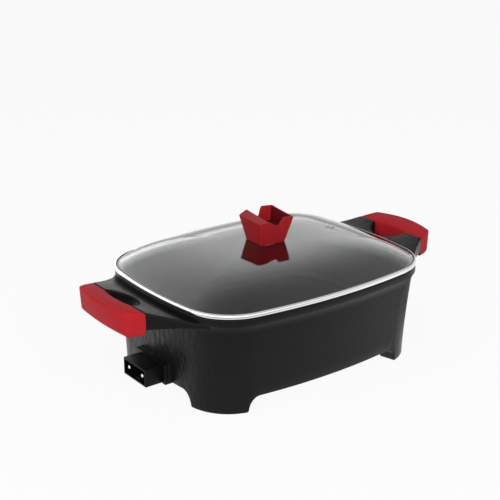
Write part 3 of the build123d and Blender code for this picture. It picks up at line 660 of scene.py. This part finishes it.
flank_across = Vector((lug_root_half - lug_tip_half, lug_tip - lug_root)).normalized()
flank_middle = Vector(((lug_root + lug_tip) / 2, (lug_root_half + lug_tip_half) / 2))
flank_middle -= flank_across * lug_flank_hollow
gap_shoulder = lug_tip - finger_gap_depth + finger_gap_shoulder
wall_middle = wall_outline(flare_start, wall_thickness / 2)
along_wall = [wall_middle(step / wall_samples % 1) for step in range(-end_samples, end_samples + 1)]
lug_inner_end = [(x, y) for x, y in along_wall if abs(y) < lug_root_half]
for side, turned in (("left", -1), ("right", 1)):
    plan = [*arc_through((lug_root, lug_root_half), flank_middle, (lug_tip, lug_tip_half), flank_steps)]
    plan += [(lug_tip, lug_tip_half), (lug_tip, finger_gap_half)]
    plan += arc_through(
        (gap_shoulder, finger_gap_half),
        (lug_tip - finger_gap_depth, 0),
        (gap_shoulder, -finger_gap_half),
        gap_steps,
    )
    plan += [(gap_shoulder, -finger_gap_half), (lug_tip, -finger_gap_half)]
    plan += arc_through(
        (lug_tip, -lug_tip_half),
        (flank_middle.x, -flank_middle.y),
        (lug_root, -lug_root_half),
        flank_steps,
    )
    plan += [(lug_root, -lug_root_half), *lug_inner_end]
    lug = flat_plan(plan, turned)
    shoulders = [(turned * gap_shoulder, finger_gap_half), (turned * gap_shoulder, -finger_gap_half)]
    round_plan(lug, shoulders, finger_gap_round)
    thicken(lug)
    for strip in range(1, lug_strips):
        bmesh.ops.bisect_plane(
            lug,
            geom=list(lug.verts) + list(lug.edges) + list(lug.faces),
            plane_co=(turned * (lug_root + (lug_tip - lug_root) * strip / lug_strips), 0, 0),
            plane_no=(1, 0, 0),
        )
    upper = [vert for vert in lug.verts if vert.co.z > 0.5]
    lower = [vert for vert in lug.verts if vert.co.z < 0.5]
    for vert in upper:
        vert.co.z = lug_level(abs(vert.co.x), lug_root_top, lug_tip_top, lug_top_hollow)
    for vert in lower:
        vert.co.z = lug_level(abs(vert.co.x), lug_root_bottom, lug_tip_bottom, 0)
    lug.normal_update()
    round_edges(lug, rim_edges(lug, upper), lug_round, steps=4)
    put_in_place(lug, f"handle_lug_{side}", "base", [hammered_coat], [])

# Foot pads: four rubber buttons pressed into the feet.
# They stand a little proud, so that the casting doesn't scratch the table.
pad_black = (0.018, 0.018, 0.018)


def dress(finish, *names):
    """Gives CAD nodes whose shape stays a finish of their own."""
    for name in names:
        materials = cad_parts[name].data.materials
        materials.clear()
        materials.append(finish)


pad_rubber = grained("pad_rubber", pad_black, roughness=(0.7, 0.9), per_metre=700, depth=0.0002)
dress(pad_rubber, "foot_pads")

# Grips: red moulded plastic, slid over the lug's tongues and screwed from below.
# The top rises outwards, the outer face is bowed and leans out, and a fine moulded grain dulls the surface.
grip_low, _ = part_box("handle_grip_right")
grip_inner = grip_low.x
grip_bottom = grip_low.z
grip_depth = 0.034
grip_end_depth = 0.024
grip_foot_depth = 0.0255
grip_foot_end_depth = 0.0225
grip_end_skew = 0.0075
grip_hollow = 0.004
grip_top_rise = 0.006
grip_corner_round = 0.009
grip_top_round = 0.0034
grip_bottom_round = 0.0075
grip_end_half = lug_tip_half - grip_end_skew
grip_outer_steps = 32
grip_hollow_steps = 16
grip_dark_red = (0.39, 0.014, 0.020)
grip_light_red = (0.44, 0.018, 0.024)


def tint(finish, texture, socket, low, high):
    """Lets a noise texture move a shader colour between two colours."""
    tree = finish.node_tree
    between = tree.nodes.new("ShaderNodeMix")
    between.data_type = "RGBA"
    low_colour, high_colour = (value for value in between.inputs if value.type == "RGBA")
    (mixed_colour,) = (value for value in between.outputs if value.type == "RGBA")
    low_colour.default_value = (*low, 1.0)
    high_colour.default_value = (*high, 1.0)
    tree.links.new(texture.outputs["Fac"], between.inputs["Factor"])
    tree.links.new(mixed_colour, socket)


def moulded(name, dark, light, roughness, gloss, grain_depth, clouds_per_metre):
    """Plastic with a fine moulded grain, a little cloudy in colour and gloss."""
    finish, shader = finish_of(name, dark, sum(roughness) / 2, gloss=gloss)
    noise = grain(finish, per_metre=1300)
    clouds = grain(finish, clouds_per_metre)
    relief(finish, shader, (noise.outputs["Fac"], grain_depth))
    spread(finish, clouds, shader.inputs["Roughness"], *roughness)
    tint(finish, clouds, shader.inputs["Base Color"], dark, light)
    return finish


red_grip = moulded(
    "red_grip",
    grip_dark_red,
    grip_light_red,
    roughness=(0.48, 0.60),
    gloss=0.06,
    grain_depth=0.0002,
    clouds_per_metre=24,
)
for side, turned in (("left", -1), ("right", 1)):
    outer = grip_inner + grip_foot_end_depth
    plan = [(grip_inner, finger_gap_half), (grip_inner, lug_tip_half)]
    plan += arc_through(
        (outer, grip_end_half),
        (grip_inner + grip_foot_depth, 0),
        (outer, -grip_end_half),
        grip_outer_steps,
    )
    plan += [(outer, -grip_end_half), (grip_inner, -lug_tip_half)]
    plan += arc_through(
        (grip_inner, -finger_gap_half),
        (grip_inner + grip_hollow, 0),
        (grip_inner, finger_gap_half),
        grip_hollow_steps,
    )
    grip = flat_plan(plan, turned)
    round_plan(grip, [(turned * outer, grip_end_half), (turned * outer, -grip_end_half)], grip_corner_round)
    lower, upper = thicken(grip)
    for vert in upper:
        reach = abs(vert.co.x) - grip_inner
        middle_share = 1 - min(1, abs(vert.co.y) / grip_end_half) ** 2
        widening = grip_end_depth / grip_foot_end_depth
        widening += (grip_depth / grip_foot_depth - widening) * middle_share
        if reach > 2 * grip_hollow:
            vert.co.x = turned * (grip_inner + reach * widening)
        rise = (abs(vert.co.x) - grip_inner) / grip_depth
        vert.co.z = lug_tip_top + grip_top_rise * rise
    for vert in lower:
        vert.co.z = grip_bottom
    grip.normal_update()
    round_edges(grip, rim_edges(grip, upper), grip_top_round, steps=4)
    lower = [vert for vert in lower if vert.is_valid]
    round_edges(grip, rim_edges(grip, lower), grip_bottom_round, steps=6)
    put_in_place(grip, f"grip_{side}", "base", [red_grip], [f"handle_grip_{side}"])

# Steel fasteners: zinc plated screws that hold the grips, the inlet, the heater and the cover.
# Their heads are turned and lightly scratched.
screw_grey = (0.52, 0.52, 0.53)
screw_zinc = grained("screw_zinc", screw_grey, roughness=(0.25, 0.5), per_metre=1500, metallic=1.0)
dress(screw_zinc, "handle_screws", "inlet_screws", "earth_screw", "clip_screws", "cover_screws", "knob_screw")

# Heater: a steel sheathed tube, oxidised brown and grey, with plain steel clips and straps.
# It shows only with the cover off.
sheath_brown = (0.12, 0.10, 0.09)
sheath_grey = (0.28, 0.25, 0.22)
sheath_roughness = (0.4, 0.65)
sheath, sheath_shader = finish_of("heater_sheath", sheath_brown, roughness=0.5, metallic=1.0)
oxide = grain(sheath, per_metre=60)
tint(sheath, oxide, sheath_shader.inputs["Base Color"], sheath_brown, sheath_grey)
spread(sheath, oxide, sheath_shader.inputs["Roughness"], *sheath_roughness)
dress(sheath, "heating_element")
clip_grey = (0.48, 0.48, 0.48)
clip_rolled = (1, 12, 12)
clip_steel = grained(
    "clip_steel", clip_grey, roughness=(0.3, 0.5), per_metre=500, metallic=1.0, stretch=clip_rolled
)
dress(clip_steel, "element_clips", "cutout_strap", "knob_washer")
cutout_grain_depth = 0.0001
cutout_black, cutout_shader = finish_of("cutout_black", colour=(0.03, 0.03, 0.03), roughness=0.55)
cutout_grain = grain(cutout_black, per_metre=900)
relief(cutout_black, cutout_shader, (cutout_grain.outputs["Fac"], cutout_grain_depth))
dress(cutout_black, "thermal_cutout")
ceramic_grain_depth = 0.0001
ceramic, ceramic_shader = finish_of("ceramic", colour=(0.76, 0.74, 0.68), roughness=0.7)
ceramic_grain = grain(ceramic, per_metre=1200)
relief(ceramic, ceramic_shader, (ceramic_grain.outputs["Fac"], ceramic_grain_depth))
dress(ceramic, "pin_insulators")
brass_dark = (0.10, 0.07, 0.03)
brass_bright = (0.34, 0.24, 0.10)
brass_roughness = (0.22, 0.45)
brass, brass_shader = finish_of("brass", brass_bright, roughness=0.32, metallic=1.0)
tarnish = grain(brass, per_metre=300)
tint(brass, tarnish, brass_shader.inputs["Base Color"], brass_dark, brass_bright)
spread(brass, tarnish, brass_shader.inputs["Roughness"], *brass_roughness)
dress(brass, "earth_contact", "knob_insert")

# Cover: aluminium sheet under the heater, with cooling slots.
# The sheet is plain and shows its rolling marks.
cover_grey = (0.42, 0.42, 0.43)
cover_rolled = (1, 14, 14)
cover_sheet = grained(
    "cover_sheet", cover_grey, roughness=(0.35, 0.55), per_metre=260, metallic=1.0, stretch=cover_rolled
)
dress(cover_sheet, "bottom_cover")

# Inlet: a black moulded box on a flange, open to the left for the lead's connector.
# It is screwed to the casting from inside, and two plated pins stand in its recess.
inlet_half = 0.0263
inlet_middle = 0.03225
inlet_half_height = 0.01185
inlet_wall = 0.0022
inlet_recess = 0.020
inlet_round = 0.0012
flange_long_edge = 0.05
inlet_colour = (0.004, 0.004, 0.0045)
inlet_black = grained(
    "inlet_black", inlet_colour, roughness=(0.30, 0.44), per_metre=1100, depth=0.00012, gloss=0.12
)
flange_face = boss_face - flange_thickness
flange = block((flange_face, flange_low.y, flange_low.z), (boss_face, flange_high.y, flange_high.z))
short_edges = [edge for edge in flange.edges if edge.calc_length() < flange_long_edge]
round_edges(flange, short_edges, inlet_round)
put_in_place(flange, "inlet_flange", "base", [inlet_black], [])
inlet = block(
    (flange_low.x, -inlet_half, inlet_middle - inlet_half_height),
    (flange_face, inlet_half, inlet_middle + inlet_half_height),
)
mouth = min(inlet.faces, key=lambda face: face.calc_center_median().x)
bmesh.ops.inset_region(inlet, faces=[mouth], thickness=inlet_wall, use_even_offset=True)
recess = bmesh.ops.extrude_face_region(inlet, geom=[mouth])["geom"]
recess_verts = [part for part in recess if isinstance(part, bmesh.types.BMVert)]
bmesh.ops.translate(inlet, vec=(inlet_recess, 0, 0), verts=recess_verts)
bmesh.ops.delete(inlet, geom=[mouth], context="FACES_ONLY")
inlet.normal_update()
outer_corners = [vert for vert in inlet.verts if abs(vert.co.y) > inlet_half - inlet_wall / 2]
round_edges(inlet, rim_edges(inlet, outer_corners), inlet_round)
put_in_place(inlet, "inlet_box", "base", [inlet_black], ["inlet_housing"])
pin_grey = (0.78, 0.77, 0.75)
pin_drawn = (1, 8, 8)
pin_nickel = grained(
    "pin_nickel", pin_grey, roughness=(0.12, 0.3), per_metre=900, metallic=1.0, stretch=pin_drawn
)
dress(pin_nickel, "terminal_pin_front", "terminal_pin_rear")

# Lid glass: clear tempered glass, slumped to a dome with a steep shoulder and a flat border.
# The border lies in the steel band, and the knob's screw goes through the middle.
glass_low, glass_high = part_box("lid_glass")
glass_thickness = 0.0042
glass_border = glass_low.z + glass_thickness
dome_top = glass_high.z
dome_rise = dome_top - glass_border
dome_inset = 0.003
dome_shoulder = 3.9
dome_crown_share = 0.26
dome_steps = 44
glass_reach = lid_half_length - glass_high.x
crown_level = dome_crown_share**dome_shoulder


def dome_outline(share, inset):
    """Level line of the dome, at a share of the way out from its centre."""
    return bowed_outline(
        (lid_half_length - dome_inset - inset) * share,
        (lid_half_width - dome_inset - inset) * share,
        (lid_corner - dome_inset - inset) * share,
    )


def dome_height(share, inset):
    """Height of the dome's outside, or of its inside at the glass's thickness."""
    fall = dome_rise * (max(share, dome_crown_share) ** dome_shoulder - crown_level) / (1 - crown_level)
    return dome_top - inset - fall


glass = bmesh.new()
dome_step = (1 - dome_crown_share) / dome_steps
dome_shares = [dome_crown_share + dome_step * step for step in range(dome_steps + 1)]
glass_ring = first_ring(glass, dome_outline(dome_shares[0], 0), dome_top)
bmesh.ops.edgeloop_fill(glass, edges=glass_ring)
for share in dome_shares[1:]:
    glass_ring = next_ring(glass, glass_ring, dome_outline(share, 0), dome_height(share, 0))
glass_ring = next_ring(glass, glass_ring, lid_outline(glass_reach), glass_border)
glass_ring = next_ring(glass, glass_ring, lid_outline(glass_reach), glass_low.z)
for share in reversed(dome_shares):
    inside = dome_outline(share, glass_thickness)
    glass_ring = next_ring(glass, glass_ring, inside, dome_height(share, glass_thickness))
bmesh.ops.edgeloop_fill(glass, edges=glass_ring)
glass_tint = (0.93, 0.96, 0.95)
glass_refraction = 1.55
glass_roughness = (0.0, 0.03)
clear_glass, glass_shader = finish_of("clear_glass", glass_tint, roughness=0.0)
glass_shader.inputs["Transmission Weight"].default_value = 1.0
glass_shader.inputs["IOR"].default_value = glass_refraction
glass_haze = grain(clear_glass, per_metre=14)
spread(clear_glass, glass_haze, glass_shader.inputs["Roughness"], *glass_roughness)
put_in_place(glass, "glass_dome", "lid", [clear_glass], ["lid_glass"], sharp_over=60.0)

# Lid band: polished stainless steel strip, rolled round the glass's edge into a channel.
# Its outside is half round and polished, and its inside is dark and rough. A leg locates it inside the pot's
# wall.
band_sheet = 0.0011
band_clasp = 0.0027
band_bulge = 0.0024
band_leg = 0.006
band_leg_gap = 0.0006
band_leg_face = rim_inside + band_leg_gap
band_leg_back = band_leg_face + band_sheet
band_bottom = band_low.z + band_leg
band_middle = (band_bottom + band_high.z) / 2
band_half_height = (band_high.z - band_bottom) / 2
band_bulge_steps = 14
band_outside = [(band_clasp, band_high.z)]
for step in range(band_bulge_steps + 1):
    angle = (0.5 - step / band_bulge_steps) * math.pi
    inset = band_bulge * (1 - math.cos(angle))
    band_outside.append((inset, band_middle + band_half_height * math.sin(angle)))
band_inside = [
    (band_leg_face, band_bottom),
    (band_leg_face, band_low.z),
    (band_leg_back, band_low.z),
    (band_leg_back, band_bottom + band_sheet),
    (band_sheet, band_bottom + band_sheet),
    (band_sheet, band_high.z - band_sheet),
    (band_clasp, band_high.z - band_sheet),
]
band = bmesh.new()
band_start = first_ring(band, lid_outline(band_outside[0][0]), band_outside[0][1])
band_ring = band_start
for inset, level in band_outside[1:]:
    band_ring = next_ring(band, band_ring, lid_outline(inset), level)
polished_faces = set(band.faces)
for inset, level in band_inside:
    band_ring = next_ring(band, band_ring, lid_outline(inset), level)
bmesh.ops.bridge_loops(band, edges=band_start + band_ring)
for face in band.faces:
    if face not in polished_faces:
        face.material_index = 1
band_bright = (0.86, 0.86, 0.87)
band_dark = (0.07, 0.07, 0.07)
band_steel = grained("band_steel", band_bright, roughness=(0.03, 0.10), per_metre=30, metallic=1.0)
dark_rough_steel = grained("dark_rough_steel", band_dark, roughness=(0.42, 0.58), per_metre=400, metallic=1.0)
put_in_place(band, "rim_band", "lid", [band_steel, dark_rough_steel], ["lid_rim_band"])

# Steam vent: a small steel eyelet in the dome, to the right of the knob.
# It is pressed from plain sheet and lightly polished.
vent_grey = (0.50, 0.50, 0.51)
vent_steel = grained("vent_steel", vent_grey, roughness=(0.25, 0.4), per_metre=700, metallic=1.0)
dress(vent_steel, "steam_vent_eyelet")

# Knob: red moulded plastic, an upside-down pyramid with a channel across its top for a spoon.
# Right of the channel it is hollowed to a thin wall, and its crown falls towards the front.
# One screw from under the glass holds it, so it stands a little turned.
knob_low, knob_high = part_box("lid_knob")
knob_place = (-0.0018, 0, knob_low.z)
knob_turn = math.radians(-4.3)
knob_foot = 0.0384
knob_crown = 0.0548
knob_height = knob_high.z - knob_low.z
knob_wall = 0.0022
knob_pocket = 0.020
channel_start = -0.0125
channel_step = 0.0007
channel_floor_start = 0.0007
channel_floor_end = 0.0040
channel_wall_lean = 0.0042
channel_crest = 0.0104
channel_depth = 0.012
channel_floor = knob_height - channel_depth
step_depth = 0.0054
step_level = knob_height - step_depth
crown_edge_depth = 0.0062
crown_edge = knob_height - crown_edge_depth
crest_drop = 0.0025
crown_side_drop = 0.001
left_drop_front = 0.0050
left_drop_back = 0.0006
crest_fall_front = 0.0023
corner_drop = 0.0036
corner_facing = Vector((0.135, -0.17, 1)).normalized()
knob_corner_round = 0.003
knob_round = 0.0011
hollow_sides = range(4, 8)
near_foot = 0.001
well_above_foot = 0.02
knob_dark_red = (0.28, 0.009, 0.013)
knob_light_red = (0.33, 0.012, 0.016)
# Darker red for the inside of the knob's pocket: painted shade for the hollow.
knob_painted_shade_red = (0.10, 0.004, 0.006)


def knob_half(level):
    """Half the knob's width at a level above its foot."""
    return (knob_foot + (knob_crown - knob_foot) * level / knob_height) / 2


def knob_section(towards_back, setback, hollowed):
    """Corners of the knob across the channel, from the lower left, clockwise, as (x, level) pairs."""
    share = 0.5 + towards_back * (knob_crown / 2 - setback) / knob_crown
    left_level = knob_height - left_drop_front + (left_drop_front - left_drop_back) * share
    crest = knob_height - crest_fall_front + crest_fall_front * share
    corners = [
        (-knob_foot / 2, 0),
        (-knob_half(crown_edge), crown_edge),
        (channel_start, left_level),
        (channel_start + channel_step, step_level),
        (channel_floor_start, channel_floor),
    ]
    pocket_floor = knob_height - knob_pocket
    if hollowed:
        rim = knob_half(crest) - knob_wall
        rim_fall = crown_side_drop * (rim - channel_crest) / (knob_half(crest) - channel_crest)
        middle_level = (pocket_floor + crest) / 2
        corners += [
            (channel_floor_start + channel_step, pocket_floor),
            (knob_half(pocket_floor) - knob_wall, pocket_floor),
            (knob_half(middle_level) - knob_wall, middle_level),
            (rim, crest - rim_fall),
        ]
    else:
        corners += [
            (channel_floor_start + channel_step, channel_floor),
            (channel_floor_end, channel_floor),
            (channel_floor_end + channel_wall_lean, crest - crest_drop),
            (channel_crest, crest),
        ]
    corners += [(knob_half(crest - crown_side_drop), crest - crown_side_drop), (knob_foot / 2, 0)]
    return corners


knob = bmesh.new()
sections = []
for towards_back, setback, hollowed in (
    (-1, 0, False),
    (-1, knob_wall, False),
    (-1, knob_wall, True),
    (1, knob_wall, True),
    (1, knob_wall, False),
    (1, 0, False),
):
    loop = []
    for x, level in knob_section(towards_back, setback, hollowed):
        loop.append(knob.verts.new((x, towards_back * (knob_half(level) - setback), level)))
    sections.append(loop)
for before, after in zip(sections, sections[1:]):
    for number in range(len(before)):
        following = (number + 1) % len(before)
        face = knob.faces.new((before[number], before[following], after[following], after[number]))
        # Faces inside the pocket take the second finish, a darker red that is painted shade.
        if before is sections[2] and number in hollow_sides:
            face.material_index = 1
knob.faces.new(sections[0])
knob.faces.new(sections[-1])
bmesh.ops.remove_doubles(knob, verts=knob.verts, dist=same_place)
bmesh.ops.recalc_face_normals(knob, faces=knob.faces)
bmesh.ops.dissolve_limit(knob, angle_limit=math.radians(1), verts=knob.verts, edges=knob.edges)
cut = bmesh.ops.bisect_plane(
    knob,
    geom=list(knob.verts) + list(knob.edges) + list(knob.faces),
    plane_co=(knob_crown / 2, -knob_crown / 2, knob_height - corner_drop),
    plane_no=corner_facing,
    clear_outer=True,
)["geom_cut"]
bmesh.ops.holes_fill(knob, edges=[part for part in cut if isinstance(part, bmesh.types.BMEdge)])
bmesh.ops.recalc_face_normals(knob, faces=knob.faces)
upright = [edge for edge in knob.edges if min(vert.co.z for vert in edge.verts) < near_foot]
upright = [edge for edge in upright if max(vert.co.z for vert in edge.verts) > well_above_foot]
round_edges(knob, upright, knob_corner_round, steps=4)
above_foot = [vert for vert in knob.verts if vert.co.z > near_foot]
round_edges(knob, rim_edges(knob, above_foot, turn_over=25.0), knob_round)
bmesh.ops.rotate(knob, verts=knob.verts, matrix=Matrix.Rotation(knob_turn, 3, "Z"))
bmesh.ops.translate(knob, verts=knob.verts, vec=knob_place)
red_knob = moulded(
    "red_knob",
    knob_dark_red,
    knob_light_red,
    roughness=(0.38, 0.52),
    gloss=0.12,
    grain_depth=0.00015,
    clouds_per_metre=40,
)
# The pocket's inside is a darker, rougher red: painted shade standing in for the hollow's shadow.
knob_pocket_painted_shade = grained(
    "knob_pocket_painted_shade", knob_painted_shade_red, roughness=(0.5, 0.7), per_metre=900, depth=0.0002, gloss=0.05
)
put_in_place(knob, "spoon_knob", "lid", [red_knob, knob_pocket_painted_shade], ["lid_knob"], sharp_over=30.0)

# Knob seals: black silicone rings on both sides of the glass, squeezed by the screw.
# They keep the screw from cracking the glass.
silicone_black = (0.03, 0.03, 0.03)
silicone = grained("silicone", silicone_black, roughness=(0.5, 0.7), per_metre=800)
dress(silicone, "knob_seal_upper", "knob_seal_lower")
